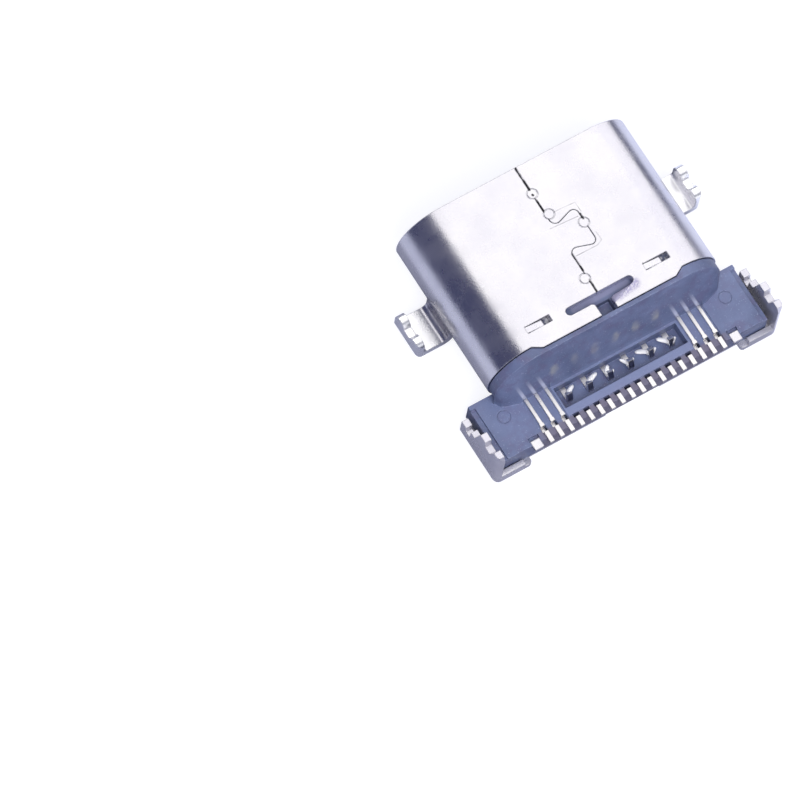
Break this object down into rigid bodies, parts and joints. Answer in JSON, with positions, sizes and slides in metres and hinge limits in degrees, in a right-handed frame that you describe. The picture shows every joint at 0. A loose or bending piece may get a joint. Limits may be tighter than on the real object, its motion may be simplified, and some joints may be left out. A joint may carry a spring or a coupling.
{
  "type": "usb-c socket",
  "caption": "Mid-mount USB-C socket: folded shell with interlocked seam, plug tongue, moulded rear, board tails and a folded cover plate with board legs.",
  "frame": {"origin": "bottom centre of the bounding box, on the cover plate's outer face", "axes": "+Z from the cover plate towards the shell's seam face, -Y out of the plug mouth, +X across the width"},
  "size_m": [0.0112, 0.0082, 0.0034],
  "materials": {
    "shell_metal": "bright nickel",
    "cover_metal": "satin nickel",
    "housing_plastic": "matte",
    "tongue_plastic": "matte",
    "plate_metal": "satin",
    "contact_metal": "plated"
  },
  "bodies": {
    "root": {"shell": "shell_metal", "cover_plate": "cover_metal", "housing": "housing_plastic", "tongue": "tongue_plastic", "mid_plate": "plate_metal", "ground_plate_upper": "plate_metal", "ground_plate_lower": "plate_metal", "lower_contact_1": "contact_metal", "lower_contact_2": "contact_metal", "lower_contact_3": "contact_metal", "lower_contact_4": "contact_metal", "lower_contact_5": "contact_metal", "lower_contact_6": "contact_metal", "lower_contact_7": "contact_metal", "lower_contact_8": "contact_metal", "lower_contact_9": "contact_metal", "lower_contact_10": "contact_metal", "lower_contact_11": "contact_metal", "lower_contact_12": "contact_metal", "upper_contact_1": "contact_metal", "upper_contact_2": "contact_metal", "upper_contact_3": "contact_metal", "upper_contact_4": "contact_metal", "upper_contact_5": "contact_metal", "upper_contact_6": "contact_metal", "upper_contact_7": "contact_metal", "upper_contact_8": "contact_metal", "upper_contact_9": "contact_metal", "upper_contact_10": "contact_metal", "upper_contact_11": "contact_metal", "upper_contact_12": "contact_metal"}
  },
  "joints": []
}
